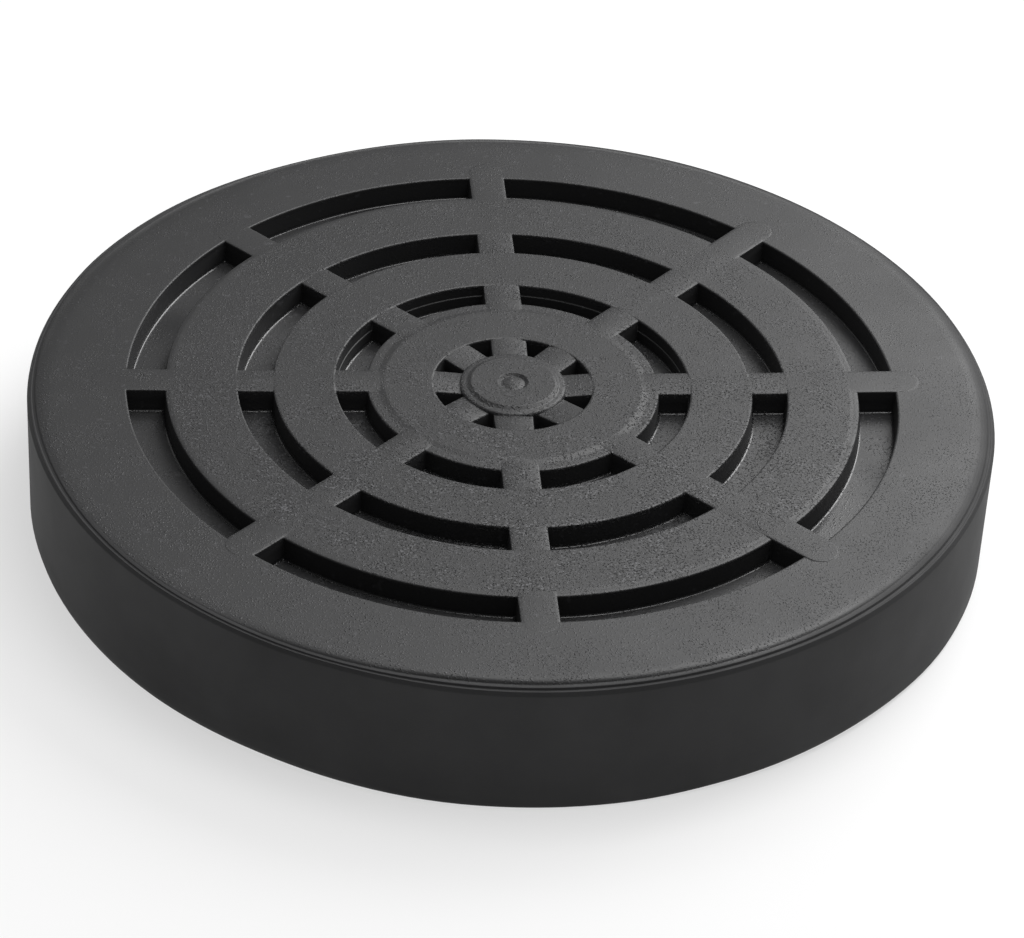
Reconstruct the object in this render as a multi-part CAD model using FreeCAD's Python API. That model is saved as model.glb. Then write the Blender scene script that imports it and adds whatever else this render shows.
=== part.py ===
"""Round rubber pad that drops into the steel saucer at the end of a vehicle lift's arm.

One compression-moulded disc. Its top face is a tread of round lands parted by round grooves,
and eight arched ribs run out from the hub button across the grooves to the rim.
Z points up, the origin is the middle of the flat underside, and one rib runs along +X.
All sizes are in millimetres and angles in degrees.
"""

import FreeCAD
import Part
import math
import os
from FreeCAD import Vector

# Body, with the thickness taken at the flat lands of the tread
thickness = 19.0
base_edge_chamfer = 1.2

# Tread, from the hub button outwards: each land is followed by the groove round it.
# These widths and the rim add up to the pad's radius, 63.5 for a 127 mm saucer.
hub_diameter = 14.1
hub_groove_width = 3.45
inner_land_width = 8.7
inner_groove_width = 4.15
middle_land_width = 8.15
middle_groove_width = 4.65
outer_land_width = 9.4
outer_groove_width = 5.05
rim_width = 12.9
groove_depth = 3.2
wall_draft = 3.0
land_edge_chamfer = 0.3
floor_edge_chamfer = 0.35

# Ledge halfway down the inner groove's outer wall
ledge_depth = 1.55
ledge_width = 0.6

# Low margins that step down beside the inner groove and the outer groove
inner_margin_width = 1.4
inner_margin_slope = 0.9
inner_margin_drop = 0.2
outer_margin_width = 0.7
outer_margin_slope = 0.25
outer_margin_drop = 0.15

# Hub button: a flat face with a sloped shoulder, and the moulding gate's moat and nub in the middle
hub_rise = 0.35
hub_edge_drop = 0.05
hub_shoulder_width = 0.6
hub_collar_width = 0.85
hub_round = 0.2
moat_radius = 1.6
moat_width = 0.8
moat_depth = 0.35
nub_rise = 0.05
nub_round = 1.2

# Ribs across the grooves, their crests climbing from the hub to the rim
rib_count = 8
rib_width = 4.9
rib_crown = 0.25
rib_overrun = 3.2
rib_rise_at_hub = -0.3
rib_rise_at_end = 0.3
rib_root_depth = 1.0

# Ejector pin's flat round witness on one rib
witness_diameter = 3.9
witness_setback = 2.25
witness_rise = 0.08
witness_rib = 7

# Rim: the land rolls off to a mould line, then a fine bead and a flash ledge lead down to the wall
roll_width = 1.35
roll_drop = 0.45
roll_round = 8.0
mould_line_width = 0.3
mould_line_depth = 0.12
bead_width = 0.4
bead_slope = 0.25
ledge_drop = 0.95
flash_width = 0.45
rim_edge_width = 0.55
rim_edge_drop = 1.7

hub_radius = hub_diameter / 2
draft_tangent = math.tan(math.radians(wall_draft))
groove_floor = thickness - groove_depth


def groove_radii():
    """Inner and outer radius of each groove at the top face, from the hub outwards."""
    widths = [
        (0, hub_groove_width),
        (inner_land_width, inner_groove_width),
        (middle_land_width, middle_groove_width),
        (outer_land_width, outer_groove_width),
    ]
    radii = []
    reach = hub_radius
    for land_width, groove_width in widths:
        inner = reach + land_width
        reach = inner + groove_width
        radii.append((inner, reach))
    return radii


hub_groove, inner_groove, middle_groove, outer_groove = groove_radii()
outer_radius = outer_groove[1] + rim_width
rib_end_radius = outer_groove[1] + rib_overrun
witness_reach = outer_groove[0] - witness_setback


def rounded_edges(corners):
    """Straight runs through (x, z, round) corners in the XZ plane, with a tangent arc at each round one."""
    points = [Vector(x, 0, z) for x, z, radius in corners]
    last = len(points) - 1
    joins = []
    for i, point in enumerate(points):
        radius = corners[i][2]
        if radius == 0 or i in (0, last):
            joins.append((point, point, point))
            continue
        to_previous = (points[i - 1] - point).normalize()
        to_next = (points[i + 1] - point).normalize()
        half_angle = to_previous.getAngle(to_next) / 2
        setback = radius / math.tan(half_angle)
        bisector = (to_previous + to_next).normalize()
        middle = point + bisector * (radius / math.sin(half_angle) - radius)
        joins.append((point + to_previous * setback, middle, point + to_next * setback))
    edges = []
    for i, (start, middle, end) in enumerate(joins):
        if i > 0 and joins[i - 1][2].distanceToPoint(start) > 1e-6:
            edges.append(Part.makeLine(joins[i - 1][2], start))
        if start.distanceToPoint(end) > 1e-6:
            edges.append(Part.Arc(start, middle, end).toShape())
    return edges


def revolved(corners):
    """Solid of revolution about Z from corners that start and end on the axis."""
    edges = rounded_edges(corners)
    first = Vector(corners[0][0], 0, corners[0][1])
    last = Vector(corners[-1][0], 0, corners[-1][1])
    edges.append(Part.makeLine(last, first))
    face = Part.Face(Part.Wire(edges))
    return face.revolve(Vector(0, 0, 0), Vector(0, 0, 1), 360)


def hub_corners():
    """Top of the hub button: nub, moat, flat face and shoulder, out to the edge of its collar."""
    face = thickness + hub_rise
    face_radius = hub_radius - hub_collar_width - hub_shoulder_width
    return [
        (0, face + nub_rise, 0),
        (moat_radius - moat_width / 2, face + nub_rise, nub_round),
        (moat_radius, face - moat_depth, 0),
        (moat_radius + moat_width / 2, face, 0),
        (face_radius, face, hub_round),
        (face_radius + hub_shoulder_width, thickness - hub_edge_drop, hub_round),
    ]


def margin_corners(edge, width, slope, drop):
    """Step down from a land to the low margin beside the groove that starts at edge."""
    return [
        (edge - width - slope, thickness, 0),
        (edge - width, thickness - drop, 0),
    ]


def groove_corners(inner, outer, inner_top, ledge):
    """One groove's section, from the edge of the land inside it to the edge of the land outside it."""
    lean = groove_depth * draft_tangent
    floor_inner = inner + lean
    floor_outer = outer - lean - ledge
    corners = [
        (inner - land_edge_chamfer, inner_top, 0),
        (inner, inner_top - land_edge_chamfer, 0),
        (floor_inner, groove_floor + floor_edge_chamfer, 0),
        (floor_inner + floor_edge_chamfer, groove_floor, 0),
        (floor_outer - floor_edge_chamfer, groove_floor, 0),
        (floor_outer, groove_floor + floor_edge_chamfer, 0),
    ]
    if ledge:
        ledge_lean = ledge_depth * draft_tangent
        corners.append((outer - ledge_lean - ledge, thickness - ledge_depth, 0))
        corners.append((outer - ledge_lean, thickness - ledge_depth, 0))
    corners.append((outer, thickness - land_edge_chamfer, 0))
    corners.append((outer + land_edge_chamfer, thickness, 0))
    return corners


def tread_corners():
    """Lands and grooves from the hub's collar to the rim."""
    corners = groove_corners(*hub_groove, thickness - hub_edge_drop, 0)
    corners += margin_corners(inner_groove[0], inner_margin_width, inner_margin_slope, inner_margin_drop)
    corners += groove_corners(*inner_groove, thickness - inner_margin_drop, ledge_width)
    corners += groove_corners(*middle_groove, thickness, 0)
    corners += margin_corners(outer_groove[0], outer_margin_width, outer_margin_slope, outer_margin_drop)
    corners += groove_corners(*outer_groove, thickness - outer_margin_drop, 0)
    return corners


def rim_corners():
    """Rim from the flat land over the roll-off, the bead and the flash ledge to the wall."""
    flash_end = outer_radius - rim_edge_width
    flash_start = flash_end - flash_width
    bead_end = flash_start - bead_slope
    bead_start = bead_end - bead_width
    roll_end = bead_start - mould_line_width
    bead_top = thickness - roll_drop
    ledge_top = thickness - ledge_drop
    return [
        (roll_end - roll_width, thickness, roll_round),
        (roll_end, bead_top, 0),
        (roll_end + mould_line_width / 2, bead_top - mould_line_depth, 0),
        (bead_start, bead_top, 0),
        (bead_end, bead_top, 0),
        (flash_start, ledge_top, 0),
        (flash_end, ledge_top, 0),
        (outer_radius, thickness - rim_edge_drop, 0),
    ]


def moulded_disc():
    """The whole disc as one revolved section, before the ribs fill parts of its grooves."""
    corners = hub_corners() + tread_corners() + rim_corners()
    corners.append((outer_radius, base_edge_chamfer, 0))
    corners.append((outer_radius - base_edge_chamfer, 0, 0))
    corners.append((0, 0, 0))
    return revolved(corners)


def rib():
    """One arched rib along +X, from inside the hub to its rounded end on the rim."""
    root = groove_floor - rib_root_depth
    flank = thickness - rib_crown
    half_top = rib_width / 2
    half_root = half_top + (flank - root) * draft_tangent
    start = hub_radius / 2
    left_root = Vector(start, -half_root, root)
    right_root = Vector(start, half_root, root)
    left_flank = Vector(start, -half_top, flank)
    right_flank = Vector(start, half_top, flank)
    crest = Vector(start, 0, thickness)
    section = Part.Wire(
        [
            Part.makeLine(right_root, left_root),
            Part.makeLine(left_root, left_flank),
            Part.Arc(left_flank, crest, right_flank).toShape(),
            Part.makeLine(right_flank, right_root),
        ]
    )
    bar = Part.Face(section).extrude(Vector(rib_end_radius - start, 0, 0))
    end_middle = rib_end_radius - half_top
    height = thickness - root
    straight = Part.makeBox(end_middle, 2 * half_root, height, Vector(0, -half_root, root))
    round_end = Part.makeCylinder(half_top, height, Vector(end_middle, 0, root))
    bar = bar.common(straight.fuse(round_end))
    climb = math.atan2(rib_rise_at_end - rib_rise_at_hub, rib_end_radius - hub_radius)
    bar.rotate(Vector(hub_radius, 0, thickness), Vector(0, -1, 0), math.degrees(climb))
    bar.translate(Vector(0, 0, rib_rise_at_hub))
    return bar


def ribs():
    """All ribs, evenly spaced round the hub."""
    first = rib()
    copies = []
    for number in range(rib_count):
        copy = first.copy()
        copy.rotate(Vector(0, 0, 0), Vector(0, 0, 1), 360 / rib_count * number)
        copies.append(copy)
    return copies


def witness_pin(bottom):
    """Cylinder of the ejector pin's size over its rib, standing on the given height."""
    angle = math.radians(360 / rib_count * witness_rib)
    middle = Vector(witness_reach * math.cos(angle), witness_reach * math.sin(angle), bottom)
    return Part.makeCylinder(witness_diameter / 2, rib_root_depth, middle)


def rubber_pad():
    """Disc and ribs as one moulding, with the pin's flat witness pressed into one rib."""
    witness_top = thickness + witness_rise
    pad = moulded_disc().fuse(ribs())
    pad = pad.fuse(witness_pin(witness_top - rib_root_depth))
    pad = pad.cut(witness_pin(witness_top))
    return pad.removeSplitter()


os.makedirs("parts", exist_ok=True)
pad = rubber_pad()
pad.exportStep("parts/rubber_pad.step")
print("solids", len(pad.Solids), "faces", len(pad.Faces), "valid", pad.isValid(), "volume", round(pad.Volume))
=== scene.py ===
import bpy
import math
from mathutils import Matrix, Vector, noise


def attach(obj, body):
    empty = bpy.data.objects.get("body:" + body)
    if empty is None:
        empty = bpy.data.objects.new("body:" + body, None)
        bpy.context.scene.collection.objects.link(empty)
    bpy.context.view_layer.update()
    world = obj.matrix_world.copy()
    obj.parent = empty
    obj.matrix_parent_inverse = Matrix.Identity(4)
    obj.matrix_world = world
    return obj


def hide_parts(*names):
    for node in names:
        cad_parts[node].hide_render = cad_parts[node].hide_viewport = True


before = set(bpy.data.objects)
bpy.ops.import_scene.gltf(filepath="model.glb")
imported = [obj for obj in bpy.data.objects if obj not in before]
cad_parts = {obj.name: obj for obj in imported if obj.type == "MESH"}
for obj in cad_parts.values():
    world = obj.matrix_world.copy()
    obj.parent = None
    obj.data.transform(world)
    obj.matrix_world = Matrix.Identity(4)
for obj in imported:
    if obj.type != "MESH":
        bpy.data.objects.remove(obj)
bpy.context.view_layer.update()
mm = 0.001


# The pad in mm: the solid's main sizes, with the rounds that the mould gives each edge
pad = {
    "top": 19.0,            # the flat lands
    "radius": 63.5,
    "grooveFloor": 15.8,
    "draft": 3.0,           # degrees on every groove wall
    "mouthRound": 0.22,
    "hubRound": 0.4,
    "floorRound": 0.3,
    "baseRound": 1.8,
    "grooves": [(7.05, 10.5), (19.2, 23.35), (31.5, 36.15), (45.55, 50.6)],
    "innerTops": [18.95, 18.8, 19.0, 18.93],    # height of the land inside each groove
    "rollStart": 59.8,      # the rim rolls off from here
    "rollEnd": 61.6,
    "rollDrop": 0.32,
    "rollRings": (0, 0.26, 0.48, 0.67, 0.81, 0.91, 1),
    "underside": (48.0, 28.0, 10.0, 1.0),       # its rings, which stay flat
    "pip": {"at": (-0.3, 0.42), "radius": 0.42, "height": 0.09},    # left by the gate's runner on the nub
}

# The other corners of its section as (radius, height, round) in mm, from the middle outwards
section = {
    "nub": [(0, 19.26, 0), (0.2, 19.26, 0), (0.4, 19.25, 0), (0.6, 19.24, 0), (0.8, 19.21, 0)],
    "moat": [(1.15, 19.15, 0.3), (1.6, 18.98, 0.15), (1.98, 19.35, 0.12)],
    "shoulder": [(5.6, 19.35, 0.25), (6.1, 18.99, 0.35)],
    "innerMargin": [(16.95, 19.0, 0.9), (17.8, 18.84, 0.9)],
    "outerMargin": [(44.35, 19.0, 0.6), (44.8, 18.94, 0.6)],
    "bead": [(61.7, 18.58, 0), (61.82, 18.62, 0.04), (62.32, 18.6, 0.08)],
    "flashLine": [(62.5, 18.3, 0.06), (62.82, 18.3, 0.06), (62.94, 18.42, 0.05), (63.12, 18.4, 0.12)],
    "edge": [(63.5, 17.75, 0.4)],
}

# The ledge on one groove's outer wall, in mm
ledge = {"groove": 1, "width": 0.14, "lean": 0.1, "foot": 17.4, "top": 17.45, "round": 0.08}

# The eight ribs in mm, counted from the one along +X
rib = {
    "count": 8,
    "pitch": 45.0,          # degrees
    "half": 2.45,
    "riseAtHub": -0.3,      # crest against the lands
    "riseAtLand": -0.03,    # where it meets the first land
    "riseAtEnd": [0.05, 0.06, 0.035, 0.02, 0.03, 0.05, 0.03, 0.13],
    "crownAtHub": 0.18,     # how much lower its sides are than its crest
    "crownAtEnd": 0.02,
    "crownStations": [0.4, 0.8, 1.2, 1.6, 1.92],
    "edgeRound": 0.16,
    "wallLean": 0.13,
    "fillet": 0.03,         # where it meets a land
    "start": 6.9,
    "ends": [54.0, 54.3, 54.3, 54.2, 55.2, 52.4, 52.8, 53.6],
    "endRing": 53.8,        # ring that is bent along the rounded ends
    # how far that ring and those near it lie from there
    "endRings": (-2.3, -1.8, -1.3, -0.9, -0.6, -0.35, -0.2, -0.1, 0, 0.06, 0.14, 0.3, 0.8, 2.4),
    "bendFrom": 0.35,       # the bent rings start this far out from the last groove
    "bendLeast": 0.4,
    # how far each rib strays anticlockwise near the hub, halfway and on the rim
    "sway": [(0.22, 0.32, 0.78), (0.2, 0.4, 0.75), (-0.05, 0.2, 0.5), (-0.4, 0.0, 0.05),
             (-0.85, -0.65, -0.8), (-0.78, -0.5, -0.5), (-0.4, -0.12, 0.12), (0.0, -0.1, -0.12)],
    "swayRadii": (9.0, 33.0, 52.0),
    "swayFree": 0.5,        # the sway stays whole this far beside the rib,
    "swayOwn": 0.4,         # but for no more than this share of the way to the middle of a pocket
}

# How finely the surface is divided
detail = {
    "longest": 1.9,         # mm between rings on a flat
    "turn": 30.0,           # degrees of turn between rings on a round
    "mostOfSide": 0.49,     # share of a side that one round can take
    "smallRound": 1.0,      # mm, a smaller round has one more ring beside it
    "beside": 0.12,
    "longSide": 0.6,        # mm, where the side is longer than this
    "pocketSteps": 10,      # stations from a rib's foot to the middle of a pocket
    "leastTurn": 0.02,      # degrees between stations where a pocket comes to a point
}

# Where one treatment of the surface gives way to the next, in mm
zones = {
    "tread": 62.0,          # ribs and grooves lie inside this radius
    "floors": 16.2,         # groove floors lie below this height
    "rim": 15.0,            # and the rim above this one
    "lean": 17.0,           # below it the wall leans in
    "calm": 63.2,           # radius where the tread's waves end
    "calmOver": 2.0,
    "base": 0.2,            # below it the wall has no waves
    "tiny": 0.01,
}

# How far the moulded surface wanders in mm, and each pattern's pitch in mm and seed
waves = {
    "lift": 0.035,
    "broad": (11, 3.1),
    "fine": (3.5, 8.7),
    "fineShare": 0.4,
    "floorShare": 0.2,
    "treadSwell": 0.05,
    "tread": (7, 5.3),
    "leastRadius": 4.0,
    "wallSwell": 0.03,
    "wall": (14, 1.7),
}


def between(start, end, part):
    return start + (end - start) * max(0, min(1, part))


def smooth(part):
    part = max(0, min(1, part))
    return part * part * (3 - 2 * part)


def softMax(a, b, blend):
    # the higher of two heights, with a small fillet where they meet
    close = max(blend - abs(a - b), 0) / blend
    return max(a, b) + close * close * blend / 4


def roundedPath(corners):
    # corners are (along, height, round); every corner with a round gets a true arc
    longest, beside, most = detail["longest"], detail["beside"], detail["mostOfSide"]
    points = []
    last = len(corners) - 1
    for i, (along, height, radius) in enumerate(corners):
        here = Vector((along, height))
        if radius == 0 or i in (0, last):
            points.append((here, False))
            continue
        before = Vector(corners[i - 1][:2]) - here
        after = Vector(corners[i + 1][:2]) - here
        toBefore, toAfter = before.normalized(), after.normalized()
        half = toBefore.angle(toAfter) / 2
        setback = min(radius / math.tan(half), most * before.length, most * after.length)
        radius = setback * math.tan(half)
        centre = here + (toBefore + toAfter).normalized() * (radius / math.sin(half))
        start = here + toBefore * setback - centre
        turn = math.pi - 2 * half
        side = 1 if start.x * toAfter.y - start.y * toAfter.x > 0 else -1
        steps = max(2, math.ceil(math.degrees(turn) / detail["turn"]), math.ceil(radius * turn / longest))
        small = radius < detail["smallRound"]
        if small and before.length - setback > detail["longSide"]:
            points.append((here + toBefore * (setback + beside), False))
        for step in range(steps + 1):
            angle = side * turn * step / steps
            spun = Vector((start.x * math.cos(angle) - start.y * math.sin(angle),
                           start.x * math.sin(angle) + start.y * math.cos(angle)))
            points.append((centre + spun, step > 0))
        if small and after.length - setback > detail["longSide"]:
            points.append((here + toAfter * (setback + beside), False))
    path = [points[0][0]]
    for point, onArc in points[1:]:
        gap = (point - path[-1]).length
        if gap < 1e-5:
            continue
        if not onArc:
            pieces = math.ceil(gap / longest)
            start = path[-1]
            path += [start.lerp(point, n / pieces) for n in range(1, pieces)]
        path.append(point)
    return path


def grooveCorners(number):
    # from the mouth at the land inside the groove to the mouth at the land outside it
    inner, outer = pad["grooves"][number]
    floor, foot = pad["grooveFloor"], pad["floorRound"]
    lean = (pad["top"] - floor) * math.tan(math.radians(pad["draft"]))
    innerRound = pad["hubRound"] if number == 0 else pad["mouthRound"]
    corners = [(inner, pad["innerTops"][number], innerRound), (inner + lean, floor, foot)]
    if number == ledge["groove"]:
        lip = outer - ledge["lean"]
        corners += [(outer - lean - ledge["width"], floor, foot),
                    (lip - ledge["width"], ledge["foot"], ledge["round"]),
                    (lip, ledge["top"], ledge["round"])]
    else:
        corners.append((outer - lean, floor, foot))
    corners.append((outer, pad["top"], pad["mouthRound"]))
    return corners


def padCorners():
    top, start, end = pad["top"], pad["rollStart"], pad["rollEnd"]
    corners = section["nub"] + section["moat"] + section["shoulder"] + grooveCorners(0)
    corners += section["innerMargin"] + grooveCorners(1) + grooveCorners(2)
    corners += section["outerMargin"] + grooveCorners(3)
    corners += [(rib["endRing"] + step, top, 0) for step in rib["endRings"]]
    corners += [(start + (end - start) * part, top, 0) for part in pad["rollRings"]]
    corners += section["bead"] + section["flashLine"] + section["edge"]
    corners += [(pad["radius"], 0, pad["baseRound"]), (pad["underside"][0], 0, 0)]
    return corners


def ribStations():
    # distances from a rib's middle line, closer together where its edge, wall and foot turn
    half, edge, foot = rib["half"], rib["edgeRound"], pad["floorRound"]
    wallFoot = half + rib["wallLean"]
    across = list(rib["crownStations"])
    across += [half - edge + edge * math.sin(math.radians(turn)) for turn in (0, 30, 60, 90)]
    across += [half + rib["wallLean"] * part for part in (0.5, 1)]
    across += [wallFoot + foot * (1 - math.cos(math.radians(turn))) for turn in (30, 60, 90)]
    across.append(wallFoot + foot + detail["beside"])
    return across


def ribCrest(number, along):
    # height of a rib's middle line
    hubEdge, landStart = pad["grooves"][0]
    if along < landStart:
        part = (along - hubEdge) / (landStart - hubEdge)
        return pad["top"] + between(rib["riseAtHub"], rib["riseAtLand"], part)
    part = (along - landStart) / (rib["ends"][number] - landStart)
    return pad["top"] + between(rib["riseAtLand"], rib["riseAtEnd"][number], part)


def ribHeight(number, along, side):
    # height of one rib's surface, or its groove floor beside it
    half, edge, foot, floor = rib["half"], rib["edgeRound"], pad["floorRound"], pad["grooveFloor"]
    end, hubEdge = rib["ends"][number], pad["grooves"][0][0]
    crown = between(rib["crownAtHub"], rib["crownAtEnd"], (along - hubEdge) / (end - hubEdge))
    roundStart = end - half
    out = abs(side)
    if along > roundStart:
        out = math.hypot(side, along - roundStart)
    surface = ribCrest(number, along) - crown * min(1, out / half) ** 2
    if out < half - edge:
        return surface
    if out < half:
        return surface - edge + math.sqrt(max(0, edge ** 2 - (out - half + edge) ** 2))
    wallFoot = half + rib["wallLean"]
    if out < wallFoot:
        part = (out - half) / rib["wallLean"]
        return (surface - edge) * (1 - part) + (floor + foot) * part
    if out < wallFoot + foot:
        return floor + foot - math.sqrt(max(0, foot ** 2 - (wallFoot + foot - out) ** 2))
    return floor


# How the rim and wall differ round the pad, as (degrees from +X, share of the size)
rimUneven = {
    "edgeDrop": [(0, 0.6), (15, 0.6), (35, 0.8), (60, 1.4), (90, 1.8), (115, 2.1), (140, 1.6), (155, 0.9),
                 (175, 0.4), (200, 0.15), (225, 0.4), (245, 1.0), (264, 1.4), (300, 0.9), (330, 0.4)],
    # mm that the flash line sinks
    "flashDrop": [(0, 0.75), (35, 0.65), (60, 0.47), (90, 0.55), (115, 0.75), (145, 0.5), (170, 0.6),
                  (200, 0.25), (225, 0.15), (250, 0.05), (300, 0.05), (330, 0.5)],
    # power of the curve that the rim rolls off by
    "rollPower": [(0, 4.0), (60, 2.2), (100, 1.8), (150, 1.8), (200, 2.5), (225, 3.5), (250, 7.0),
                  (300, 7.0), (330, 8.0)],
    "linesIn": [(0, 1.0), (190, 1.0), (225, 0.6), (245, 0.6), (264, 0.75), (300, 0.8), (330, 0.9)],
    "mouldLine": [(0, 0.0), (180, 0.0), (225, 0.1), (245, 0.4), (262, 1.0), (300, 1.1), (318, 0.6),
                  (335, 0.1)],
    "baseRound": [(0, 0.7), (90, 0.8), (180, 1.0), (235, 0.95), (262, 0.35), (280, 0.28), (292, 0.5),
                  (310, 0.7), (330, 0.35), (345, 0.2)],
    # mm that the wall leans in at its foot
    "baseLean": [(0, 0.1), (90, 0.0), (185, 0.1), (204, 0.16), (225, 0.05), (262, 0.05), (290, 0.2),
                 (315, 0.12), (330, 0.0), (350, 0.0)],
}

# The fine lines along the rim's edge, in mm
rimLines = {
    "sinkFrom": 61.5,       # radius where the flash line's sinking starts
    "sinkOver": 1.8,
    "lineDepth": 0.06,      # the mould line lies this far below the rolled edge
    "beadRelief": 0.2,
    "flashRelief": 0.22,
    "leastFlash": 0.1,      # share of the flash line that is left where the mould line is gone
    "below": 0.8,           # share of the drop that is left under the flash line
    "deepest": 2.0,
}


def roundTheRim(name, azimuth):
    # smooth share between the listed places
    places = rimUneven[name]
    azimuth = (azimuth - places[0][0]) % 360 + places[0][0]
    for n, (start, share) in enumerate(places):
        end, nextShare = places[(n + 1) % len(places)]
        if n == len(places) - 1:
            end = places[0][0] + 360
        if start <= azimuth < end:
            return between(share, nextShare, smooth((azimuth - start) / (end - start)))
    return places[0][1]


def rimRadius(radius, turn):
    # the lines along the edge lie closer to the wall in places
    wall, start, end = pad["radius"], pad["rollStart"], pad["rollEnd"]
    share = roundTheRim("linesIn", turn)
    if radius < end:
        return between(start, wall - (wall - end) * share, (radius - start) / (end - start))
    return wall - (wall - radius) * share


def rimHeight(radius, height, turn):
    # the rim's roll-off, mould line, bead and flash line as they are at this place round the pad
    top, start, end, rollDrop = pad["top"], pad["rollStart"], pad["rollEnd"], pad["rollDrop"]
    drop = top - height
    share = roundTheRim("edgeDrop", turn)
    if start < radius < end + zones["tiny"]:
        part = (radius - start) / (end - start)
        return top - rollDrop * share * part ** roundTheRim("rollPower", turn)
    if radius > end and drop < rimLines["deepest"]:
        sinking = smooth((radius - rimLines["sinkFrom"]) / rimLines["sinkOver"])
        sinking *= roundTheRim("flashDrop", turn)
        lines = roundTheRim("mouldLine", turn)
        flashShare = between(rimLines["leastFlash"], 1, lines)
        flashRelief = rimLines["flashRelief"]
        relief = drop - rollDrop - rimLines["lineDepth"]
        if relief < rimLines["beadRelief"]:
            relief *= lines
        elif relief < flashRelief:
            relief *= flashShare
        else:
            relief = flashRelief * flashShare + rimLines["below"] * (relief - flashRelief)
        return top - (rollDrop + rimLines["lineDepth"]) * share - relief - sinking
    return height


def shapeEdge(radius, height, turn):
    # the rim, the base's round and the wall's lean as they are at this place round the pad
    wall = pad["radius"]
    if radius > pad["rollStart"] and height > zones["rim"]:
        radius, height = rimRadius(radius, turn), rimHeight(radius, height, turn)
    if height < pad["baseRound"] and radius > wall - pad["baseRound"] - zones["tiny"]:
        share = roundTheRim("baseRound", turn)
        radius = wall - (wall - radius) * share
        height *= share
    if radius > wall - pad["baseRound"] - zones["tiny"] and height < zones["lean"]:
        radius -= roundTheRim("baseLean", turn) * (1 - height / zones["lean"])
    return radius, height


def wander(point, pitch, seed):
    return noise.noise(Vector((point.x / pitch + seed, point.y / pitch, point.z / pitch)))


def surfaceLift(point):
    # the moulded top is never quite flat
    lift = waves["lift"]
    return lift * wander(point, *waves["broad"]) + waves["fineShare"] * lift * wander(point, *waves["fine"])


def ribSway(number, radius):
    # how far a rib's middle line strays from its place at this radius
    nearHub, halfway, onRim = rib["sway"][number % rib["count"]]
    inner, middle, outer = rib["swayRadii"]
    if radius < middle:
        return between(nearHub, halfway, (radius - inner) / (middle - inner))
    return between(halfway, onRim, (radius - middle) / (outer - middle))


def swayShare(stationAngle, radius):
    # how much of the next rib's sway a place takes: none on the rib, half of it halfway between the two
    sector = math.radians(rib["pitch"] / 2)
    own = min(rib["swayOwn"] * sector, math.asin(min(0.99, (rib["half"] + rib["swayFree"]) / radius)))
    return between(0, 0.5, (abs(stationAngle) - own) / (sector - own))


def bentRadius(number, side, radius, pocketShare):
    # the rings near a rib's end, bent so that one of them follows the end's outline
    low, high = pad["grooves"][-1][1] + rib["bendFrom"], pad["rollStart"]
    endRing, half = rib["endRing"], rib["half"]
    if not low < radius < high:
        return radius
    out = min(abs(side), half)
    outline = max(low + rib["bendLeast"], rib["ends"][number] - half + math.sqrt(half ** 2 - out ** 2))
    target = between(math.hypot(outline, side), endRing, smooth(2 * pocketShare))
    if radius < endRing:
        return between(low, target, (radius - low) / (endRing - low))
    return between(target, high, (radius - endRing) / (high - endRing))


def wavy(point, radius):
    # the moulded surface's small waves, and the pip on the nub
    if point.z > zones["rim"] and radius < zones["calm"]:
        fade = min(1, (zones["calm"] - radius) / zones["calmOver"])
        onFloor = point.z <= zones["floors"]
        point.z += surfaceLift(point) * fade * (waves["floorShare"] if onFloor else 1)
        pip = pad["pip"]
        away = (point.xy - Vector(pip["at"])).length
        point.z += pip["height"] * smooth(1 - away / pip["radius"])
        reach = max(radius, waves["leastRadius"])
        swell = 1 + waves["treadSwell"] * wander(point, *waves["tread"]) * fade / reach
    elif point.z > zones["base"]:
        swell = 1 - waves["wallSwell"] * (0.5 + 0.5 * wander(point, *waves["wall"])) / radius
    else:
        return point
    point.x *= swell
    point.y *= swell
    return point


# The outer land's low margin in mm, deepest on the side that it is turned to in degrees
margin = {"from": 44.2, "to": 45.3, "above": 18.85, "towards": -40.0, "mean": 0.45}


def padPoint(number, side, pocketShare, stationAngle, ring):
    # where one station of one ring lies, with the rib and every unevenness of this place
    radius, height = ring
    hubRadius = pad["grooves"][0][0]
    neighbour = number + (1 if stationAngle > 0 else -1)
    share = swayShare(stationAngle, max(radius, hubRadius))
    sway = between(ribSway(number, radius), ribSway(neighbour, radius), share)
    onTop = height > pad["grooveFloor"] - zones["tiny"] and radius < zones["tread"]
    if onTop:
        radius = bentRadius(number, side, radius, pocketShare)
    if margin["from"] < radius < margin["to"] and height > margin["above"]:
        facing = math.cos(math.radians(rib["pitch"] * number - margin["towards"]) + stationAngle)
        height = pad["top"] - (pad["top"] - height) * margin["mean"] * (1 + facing)
    if onTop and radius > rib["start"]:
        along = radius * math.cos(stationAngle)
        height = softMax(height, ribHeight(number, along, radius * math.sin(stationAngle)), rib["fillet"])
    azimuth = math.radians(rib["pitch"] * number) + stationAngle + sway / max(radius, hubRadius)
    radius, height = shapeEdge(radius, height, math.degrees(azimuth))
    return wavy(Vector((radius * math.cos(azimuth), radius * math.sin(azimuth), height)), radius) * mm


def stationAngles(across, radius):
    # angles of the stations on one side of a rib, pressed together where the pockets come to a point
    sector, gap = math.radians(rib["pitch"] / 2), math.radians(detail["leastTurn"])
    steps = detail["pocketSteps"]
    last = len(across) + steps - 1
    reach = max(radius, pad["grooves"][0][0])
    angles = [min(math.asin(min(0.99, distance / reach)), sector - (last - n) * gap)
              for n, distance in enumerate(across)]
    foot = angles[-1]
    return angles + [foot + (sector - foot) * n / steps for n in range(1, steps + 1)]


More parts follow.
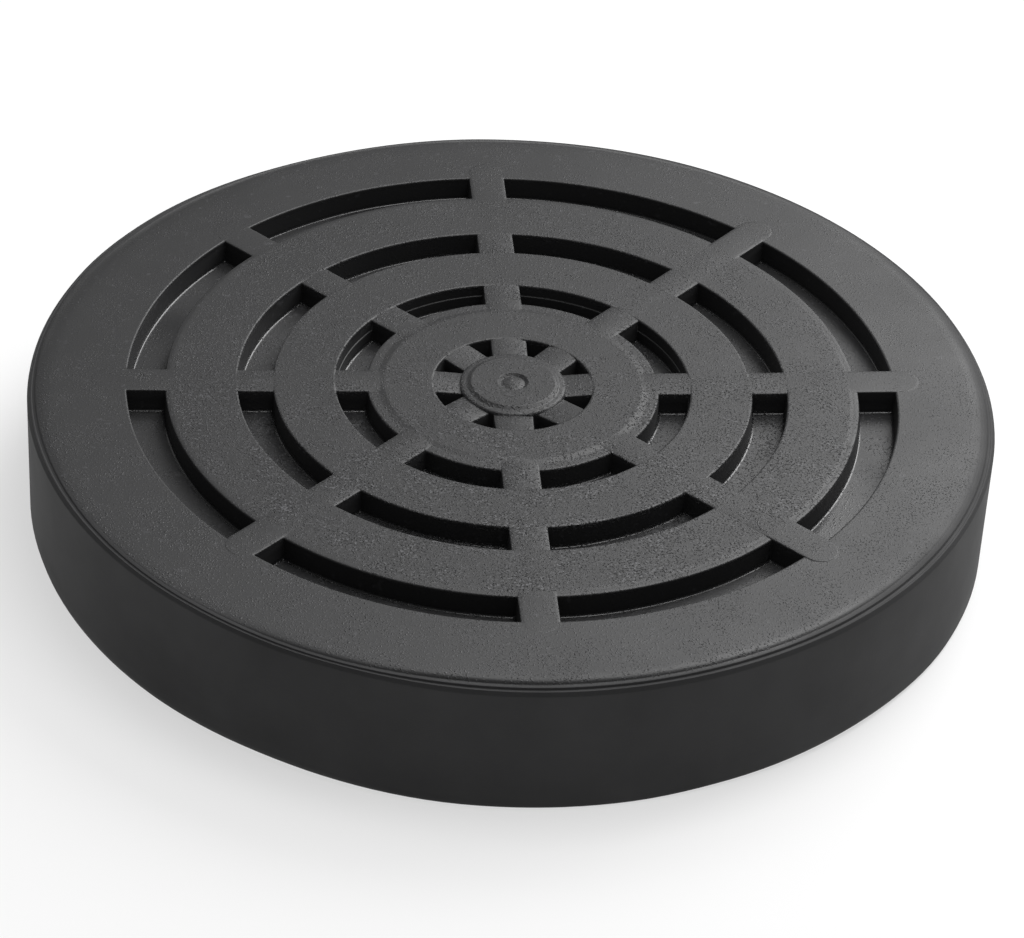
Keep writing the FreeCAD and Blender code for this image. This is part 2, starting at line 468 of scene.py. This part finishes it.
def addPiece(name, points, faces):
    mesh = bpy.data.meshes.new(name)
    mesh.from_pydata(points, [], faces)
    mesh.validate()
    mesh.shade_smooth()
    piece = bpy.data.objects.new(name, mesh)
    bpy.context.scene.collection.objects.link(piece)
    return piece


def makePad():
    print("Moulding the pad")
    rings = [(p.x, p.y) for p in roundedPath(padCorners())][1:]
    rings += [(radius, 0) for radius in pad["underside"][1:]]
    across, steps = ribStations(), detail["pocketSteps"]
    sides = across + [across[-1]] * steps
    shares = [0] * len(across) + [0.5 * n / steps for n in range(1, steps + 1)]
    middle = section["nub"][0][1] + zones["tiny"]
    points = [Vector((0, 0, middle * mm))]
    for ring in rings:
        spots = list(zip(sides, shares, stationAngles(across, ring[0])))
        for number in range(rib["count"]):
            points.append(padPoint(number, 0, 0, 0, ring))
            points += [padPoint(number, side, share, angle, ring) for side, share, angle in spots]
            follower = (number + 1) % rib["count"]
            points += [padPoint(follower, -side, share, -angle, ring)
                       for side, share, angle in reversed(spots[:-1])]
    points.append(Vector((0, 0, 0)))
    bottom = len(points) - 1
    perRing = rib["count"] * 2 * len(sides)
    faces = []
    for n in range(perRing):
        after = (n + 1) % perRing
        faces.append((0, 1 + n, 1 + after))
        for row in range(len(rings) - 1):
            here, out = 1 + row * perRing, 1 + (row + 1) * perRing
            faces.append((here + n, out + n, out + after, here + after))
        lastRow = 1 + (len(rings) - 1) * perRing
        faces.append((lastRow + n, bottom, lastRow + after))
    piece = addPiece("mouldedPad", points, faces)
    triangles = sum(len(face.vertices) - 2 for face in piece.data.polygons)
    print("  rings", len(rings), "points round", perRing, "triangles", triangles)
    return piece


witness = {
    "rib": 7,
    "along": 43.5,      # mm, as the other sizes here
    "radius": 1.75,
    "lip": 0.15,        # half width of its raised line
    "height": 0.035,
    "profile": [(-1, -1), (-0.5, 0.7), (0, 1), (0.5, 0.7), (1, -1)],    # in lips and heights
    "steps": 64,
}


def makeWitness():
    # the fine raised line that an ejector pin leaves round its face
    print("Marking the ejector pin's witness")
    direction = math.radians(rib["pitch"] * witness["rib"])
    points = []
    for step in range(witness["steps"]):
        turn = math.tau * step / witness["steps"]
        for across, rise in witness["profile"]:
            reach = witness["radius"] + across * witness["lip"]
            along = witness["along"] + reach * math.cos(turn)
            side = reach * math.sin(turn)
            height = softMax(pad["top"], ribHeight(witness["rib"], along, side), rib["fillet"])
            side += ribSway(witness["rib"], along)
            point = Vector((along * math.cos(direction) - side * math.sin(direction),
                            along * math.sin(direction) + side * math.cos(direction), height))
            point.z += surfaceLift(point) + rise * witness["height"]
            points.append(point * mm)
    width = len(witness["profile"])
    faces = []
    for step in range(witness["steps"]):
        here, after = step * width, (step + 1) % witness["steps"] * width
        faces += [(here + n, here + n + 1, after + n + 1, after + n) for n in range(width - 1)]
    return addPiece("ejectorWitness", points, faces)


def linear(hexColour):
    # sRGB hex to the linear colour that Blender works in
    channels = [int(hexColour[i:i + 2], 16) / 255 for i in (1, 3, 5)]
    return tuple(c / 12.92 if c <= 0.04045 else ((c + 0.055) / 1.055) ** 2.4 for c in channels) + (1,)


def metres(sizes):
    return [size * mm for size in sizes]


def addNode(tree, kind, inputs=None, **settings):
    # one node with its settings, and each input given as a value or as another node's output
    made = tree.nodes.new(kind)
    for name, value in settings.items():
        setattr(made, name, value)
    for socket, value in (inputs or {}).items():
        if isinstance(value, bpy.types.NodeSocket):
            tree.links.new(value, made.inputs[socket])
        else:
            made.inputs[socket].default_value = value
    return made


def addNoise(tree, place, size, layers, roughness=0.5):
    # cloudy values with features of this size in mm
    inputs = {"Vector": place, "Scale": 1 / (size * mm), "Detail": layers, "Roughness": roughness}
    return addNode(tree, "ShaderNodeTexNoise", inputs).outputs[0]


def addRamp(tree, value, span=(0.0, 1.0), ends=(0.0, 1.0), **settings):
    # goes from one end to the other while the value crosses the span
    inputs = {0: value, 1: span[0], 2: span[1], 3: ends[0], 4: ends[1]}
    return addNode(tree, "ShaderNodeMapRange", inputs, **settings).outputs[0]


def addMath(tree, operation, first, second):
    return addNode(tree, "ShaderNodeMath", {0: first, 1: second}, operation=operation).outputs[0]


def addMix(tree, share, first, second):
    return addNode(tree, "ShaderNodeMix", {0: share, 6: first, 7: second}, data_type="RGBA").outputs[2]


rubberLook = {
    "colour": "#1b1b1c",        # carbon-black rubber
    "bloomColour": "#232324",   # wax that has come to the surface
    "bloom": {"size": 14.0, "layers": 4.0, "roughness": 0.6},       # mm
    "bloomSpan": (0.3, 0.7),
    "bloomGloss": (0.04, -0.04),    # what it adds to the roughness
    "treadRoughness": 0.52,
    "floorRoughness": 0.52,     # groove floors
    "footRoughness": 0.24,      # the polished feet of the groove walls
    "wallRoughness": 0.65,      # groove walls
    "sideRoughness": 0.72,      # the pad's own wall
    "foot": (15.806, 15.816),   # mm, heights between which the floor turns into the polished foot
    "wallStart": (16.1, 16.35), # and those between which the groove wall starts
    "wallEnd": (18.2, 18.45),   # and ends
    # mm, radii between which the tread's surface turns into the wall's, and how far along X they change
    "rimEdge": {"from": (62.0, 60.6), "to": (62.5, 62.2), "along": (30.0, 48.0)},
    "scuffColour": "#38383a",   # small pale flecks where it has rubbed
    "scuff": {"size": 1.1, "layers": 3.0},      # mm
    "scuffSpan": (0.64, 0.74),
    "scuffMost": 0.8,
    "grain": {"size": 0.28, "layers": 1.0},     # mm, the mould's sand grain, a little coarse so that it shows
    "grainSpan": (0.55, 0.8),
    "grainDepth": 0.58,         # mm
    "grainStrength": 0.6,
    "grainEdge": (44.3, 44.7),  # mm, radii between which the lands' full grain turns into the rim's
    "grainAlong": (-30.0, 15.0),    # mm along Y between which the grain fades
    "grainLeft": 0.38,          # and the share that is left
    "rimGrain": 0.25,
    "floorGrain": 0.8,
    "wallGrain": 0.15,
    "sideGrain": 0.1,
    "patch": {"size": 5.0, "layers": 2.0},      # mm, the grain lies in patches
    "patchSpan": (0.42, 0.62),
    "patchGrain": (0.3, 1.1),
    "dustColour": "#515153",    # moulding dust that sits in the grain
    "dust": {"size": 0.3, "layers": 1.0},       # mm
    "dustSpan": (0.57, 0.66),
    "pit": {"size": 0.38, "layers": 1.0},       # mm
    "pitSpan": (0.5, 0.62),
    "pitDepth": 0.35,           # share of the grain's depth
    # pitted spots, where air was caught in the mould, as (x, y, radius) in mm
    "pittedSpots": [(1.7, 21.2, 1.5), (-13.9, 15.2, 1.1), (-48.8, 1.4, 0.8)],
    "spotCore": 0.6,            # share of the radius that is fully pitted
    "indexOfRefraction": 1.5,
    "specularLevel": 0.5,
}


def makeMouldedRubber():
    # moulded black rubber: near black, a broad soft sheen, sparse sand grain on the lands, duller walls
    look = rubberLook
    material = bpy.data.materials.new("mouldedBlackRubber")
    material.use_nodes = True
    tree = material.node_tree
    tree.nodes.clear()
    place = addNode(tree, "ShaderNodeTexCoord").outputs["Object"]
    x, y, height = addNode(tree, "ShaderNodeSeparateXYZ", {0: place}).outputs
    flat = addNode(tree, "ShaderNodeVectorMath", {0: place, 1: (1, 1, 0)}, operation="MULTIPLY").outputs[0]
    reach = addNode(tree, "ShaderNodeVectorMath", {0: flat}, operation="LENGTH").outputs["Value"]

    # shares of the zones: above the groove floors, on the lands, and out on the wall
    above = addRamp(tree, height, metres(look["wallStart"]))
    onTop = addRamp(tree, height, metres(look["wallEnd"]))
    edge = look["rimEdge"]
    edges = [addRamp(tree, x, metres(edge["along"]), metres(edge[name])) for name in ("from", "to")]
    outside = addRamp(tree, reach, edges)

    bloom = addNoise(tree, place, **look["bloom"])
    colour = addMix(tree, bloom, linear(look["colour"]), linear(look["bloomColour"]))
    mostScuff = addRamp(tree, outside, ends=(look["scuffMost"], 0.0))
    scuff = addRamp(tree, addNoise(tree, place, **look["scuff"]), look["scuffSpan"], (0.0, mostScuff))
    colour = addMix(tree, scuff, colour, linear(look["scuffColour"]))

    inGroove = addRamp(tree, height, metres(look["foot"]), (look["floorRoughness"], look["footRoughness"]))
    onWall = addRamp(tree, above, ends=(inGroove, look["wallRoughness"]))
    onSide = addRamp(tree, outside, ends=(look["treadRoughness"], look["sideRoughness"]))
    inOpen = addMath(tree, "MAXIMUM", onTop, outside)
    roughness = addRamp(tree, inOpen, ends=(onWall, onSide))
    roughness = addMath(tree, "ADD", roughness, addRamp(tree, bloom, look["bloomSpan"], look["bloomGloss"]))

    grain = addNoise(tree, place, **look["grain"])
    grain = addRamp(tree, grain, look["grainSpan"], interpolation_type="SMOOTHSTEP")
    share = addRamp(tree, addNoise(tree, place, **look["patch"]), look["patchSpan"], look["patchGrain"])
    inGroove = addRamp(tree, above, ends=(look["floorGrain"], look["wallGrain"]))
    parts = [
        addRamp(tree, reach, metres(look["grainEdge"]), (1.0, look["rimGrain"])),
        addRamp(tree, onTop, ends=(inGroove, 1.0)),
        addRamp(tree, outside, ends=(1.0, look["sideGrain"])),
        addRamp(tree, y, metres(look["grainAlong"]), (1.0, look["grainLeft"]),
                interpolation_type="SMOOTHSTEP"),
    ]
    for part in parts:
        share = addMath(tree, "MULTIPLY", share, part)
    relief = addMath(tree, "MULTIPLY", grain, share)
    dust = addRamp(tree, addNoise(tree, place, **look["dust"]), look["dustSpan"], (0.0, share))
    colour = addMix(tree, dust, colour, linear(look["dustColour"]))

    pits = addRamp(tree, addNoise(tree, flat, **look["pit"]), look["pitSpan"], (0.0, look["pitDepth"]))
    for spotX, spotY, radius in look["pittedSpots"]:
        away = addNode(tree, "ShaderNodeVectorMath", {0: flat, 1: (spotX * mm, spotY * mm, 0)},
                       operation="DISTANCE").outputs["Value"]
        near = addRamp(tree, away, metres((look["spotCore"] * radius, radius)), (1.0, 0.0))
        relief = addMath(tree, "SUBTRACT", relief, addMath(tree, "MULTIPLY", near, pits))

    bump = addNode(tree, "ShaderNodeBump", {"Height": relief, "Strength": look["grainStrength"],
                                            "Distance": look["grainDepth"] * mm})
    shader = addNode(tree, "ShaderNodeBsdfPrincipled", {
        "Base Color": colour, "Roughness": roughness, "Normal": bump.outputs[0],
        "IOR": look["indexOfRefraction"], "Specular IOR Level": look["specularLevel"]})
    addNode(tree, "ShaderNodeOutputMaterial", {"Surface": shader.outputs[0]})
    return material


stage = {
    "floorColour": "#ececec",
    "floorSize": 6.0,       # metres, as the other sizes here
    "floorGlow": 0.6,       # share of plain white in the floor as it is seen, so the pad's shadow stays
    "sky": 0.14,
    "lamps": {
        "backSoftbox": {"at": (0.32, 0.343, 0.415), "size": 0.42, "radiance": 7.8},
        "overheadSoftbox": {"at": (0.11, 0.03, 0.6), "size": 0.34, "radiance": 6.0},
        "sideSoftbox": {"at": (-0.3, 0.5, 0.22), "size": 0.35, "radiance": 0.6},
    },
}


def makePaleFloor():
    # pale paper: partly plain white where it is seen, straight or in a reflection, and it keeps shadows
    material = bpy.data.materials.new("paleFloor")
    material.use_nodes = True
    tree = material.node_tree
    tree.nodes.clear()
    path = addNode(tree, "ShaderNodeLightPath").outputs
    seen = addMath(tree, "MAXIMUM", path["Is Camera Ray"], path["Is Glossy Ray"])
    seen = addMath(tree, "MAXIMUM", seen, path["Is Transmission Ray"])
    share = addMath(tree, "MULTIPLY", seen, stage["floorGlow"])
    paper = addNode(tree, "ShaderNodeBsdfDiffuse", {"Color": linear(stage["floorColour"])})
    glow = addNode(tree, "ShaderNodeEmission", {"Color": (1, 1, 1, 1), "Strength": 1.0})
    mixed = addNode(tree, "ShaderNodeMixShader", {0: share, 1: paper.outputs[0], 2: glow.outputs[0]})
    addNode(tree, "ShaderNodeOutputMaterial", {"Surface": mixed.outputs[0]})
    return material


def makeStage():
    print("Setting the floor and the light")
    side = stage["floorSize"] / 2
    mesh = bpy.data.meshes.new("floor")
    corners = [(-side, -side, 0), (side, -side, 0), (side, side, 0), (-side, side, 0)]
    mesh.from_pydata(corners, [], [(0, 1, 2, 3)])
    floor = bpy.data.objects.new("floor", mesh)
    bpy.context.scene.collection.objects.link(floor)
    mesh.materials.append(makePaleFloor())

    world = bpy.data.worlds.new("studio")
    bpy.context.scene.world = world
    world.use_nodes = True
    tree = world.node_tree
    tree.nodes.clear()
    sky = addNode(tree, "ShaderNodeBackground", {"Color": (1, 1, 1, 1), "Strength": stage["sky"]})
    addNode(tree, "ShaderNodeOutputWorld", {"Surface": sky.outputs[0]})

    for name, softbox in stage["lamps"].items():
        lamp = bpy.data.lights.new(name, "AREA")
        lamp.shape = "SQUARE"
        lamp.size = softbox["size"]
        lamp.energy = softbox["radiance"] * math.pi * lamp.size ** 2
        holder = bpy.data.objects.new(name, lamp)
        holder.location = softbox["at"]
        holder.rotation_euler = (-Vector(softbox["at"])).to_track_quat("-Z", "Y").to_euler()
        bpy.context.scene.collection.objects.link(holder)
    return floor


# Where the photograph was taken from, fitted to the pad's outline and grooves
view = {
    "focal": 4133.0,            # pixels, in an image 1024 wide
    "frame": (1024, 938),
    "elevation": 35.98,         # degrees, as the other angles here
    "azimuth": -5.70,           # turn of the camera round the pad
    "roll": 3.41,
    "distance": 0.543052,       # metres
    "middle": (513.1, 383.4),   # pixel where the middle of the tread is seen
    "sensor": 36.0,             # mm
    "nearest": 0.01,            # metres
}


def makeCamera():
    print("Placing the camera")
    elevation, roll = math.radians(view["elevation"]), math.radians(view["roll"])
    back = Vector((0, -math.cos(elevation), math.sin(elevation)))
    right = Vector((1, 0, 0))
    up = back.cross(right)
    across = math.cos(roll) * right + math.sin(roll) * up
    upright = math.cos(roll) * up - math.sin(roll) * right
    width, height = view["frame"]
    scale = view["distance"] / view["focal"]
    middleX, middleY = view["middle"]
    offset = across * (middleX - width / 2) * scale + upright * (height / 2 - middleY) * scale
    pose = Matrix((across, upright, back)).transposed().to_4x4()
    pose.translation = Vector((0, 0, pad["top"] * mm)) - offset + back * view["distance"]
    lens = bpy.data.cameras.new("camera")
    lens.sensor_width = view["sensor"]
    lens.lens = view["focal"] / width * view["sensor"]
    lens.clip_start = view["nearest"]
    camera = bpy.data.objects.new("camera", lens)
    camera.matrix_world = Matrix.Rotation(math.radians(view["azimuth"]), 4, "Z") @ pose
    bpy.context.scene.collection.objects.link(camera)
    bpy.context.scene.camera = camera


makeCamera()
floor = makeStage()
mouldedRubber = makeMouldedRubber()
mouldedPad, ejectorWitness = makePad(), makeWitness()
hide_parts("rubber_pad")
for piece in (mouldedPad, ejectorWitness):
    piece.data.materials.append(mouldedRubber)
    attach(piece, "root")
bpy.context.scene.view_settings.view_transform = "Standard"

print("Done")
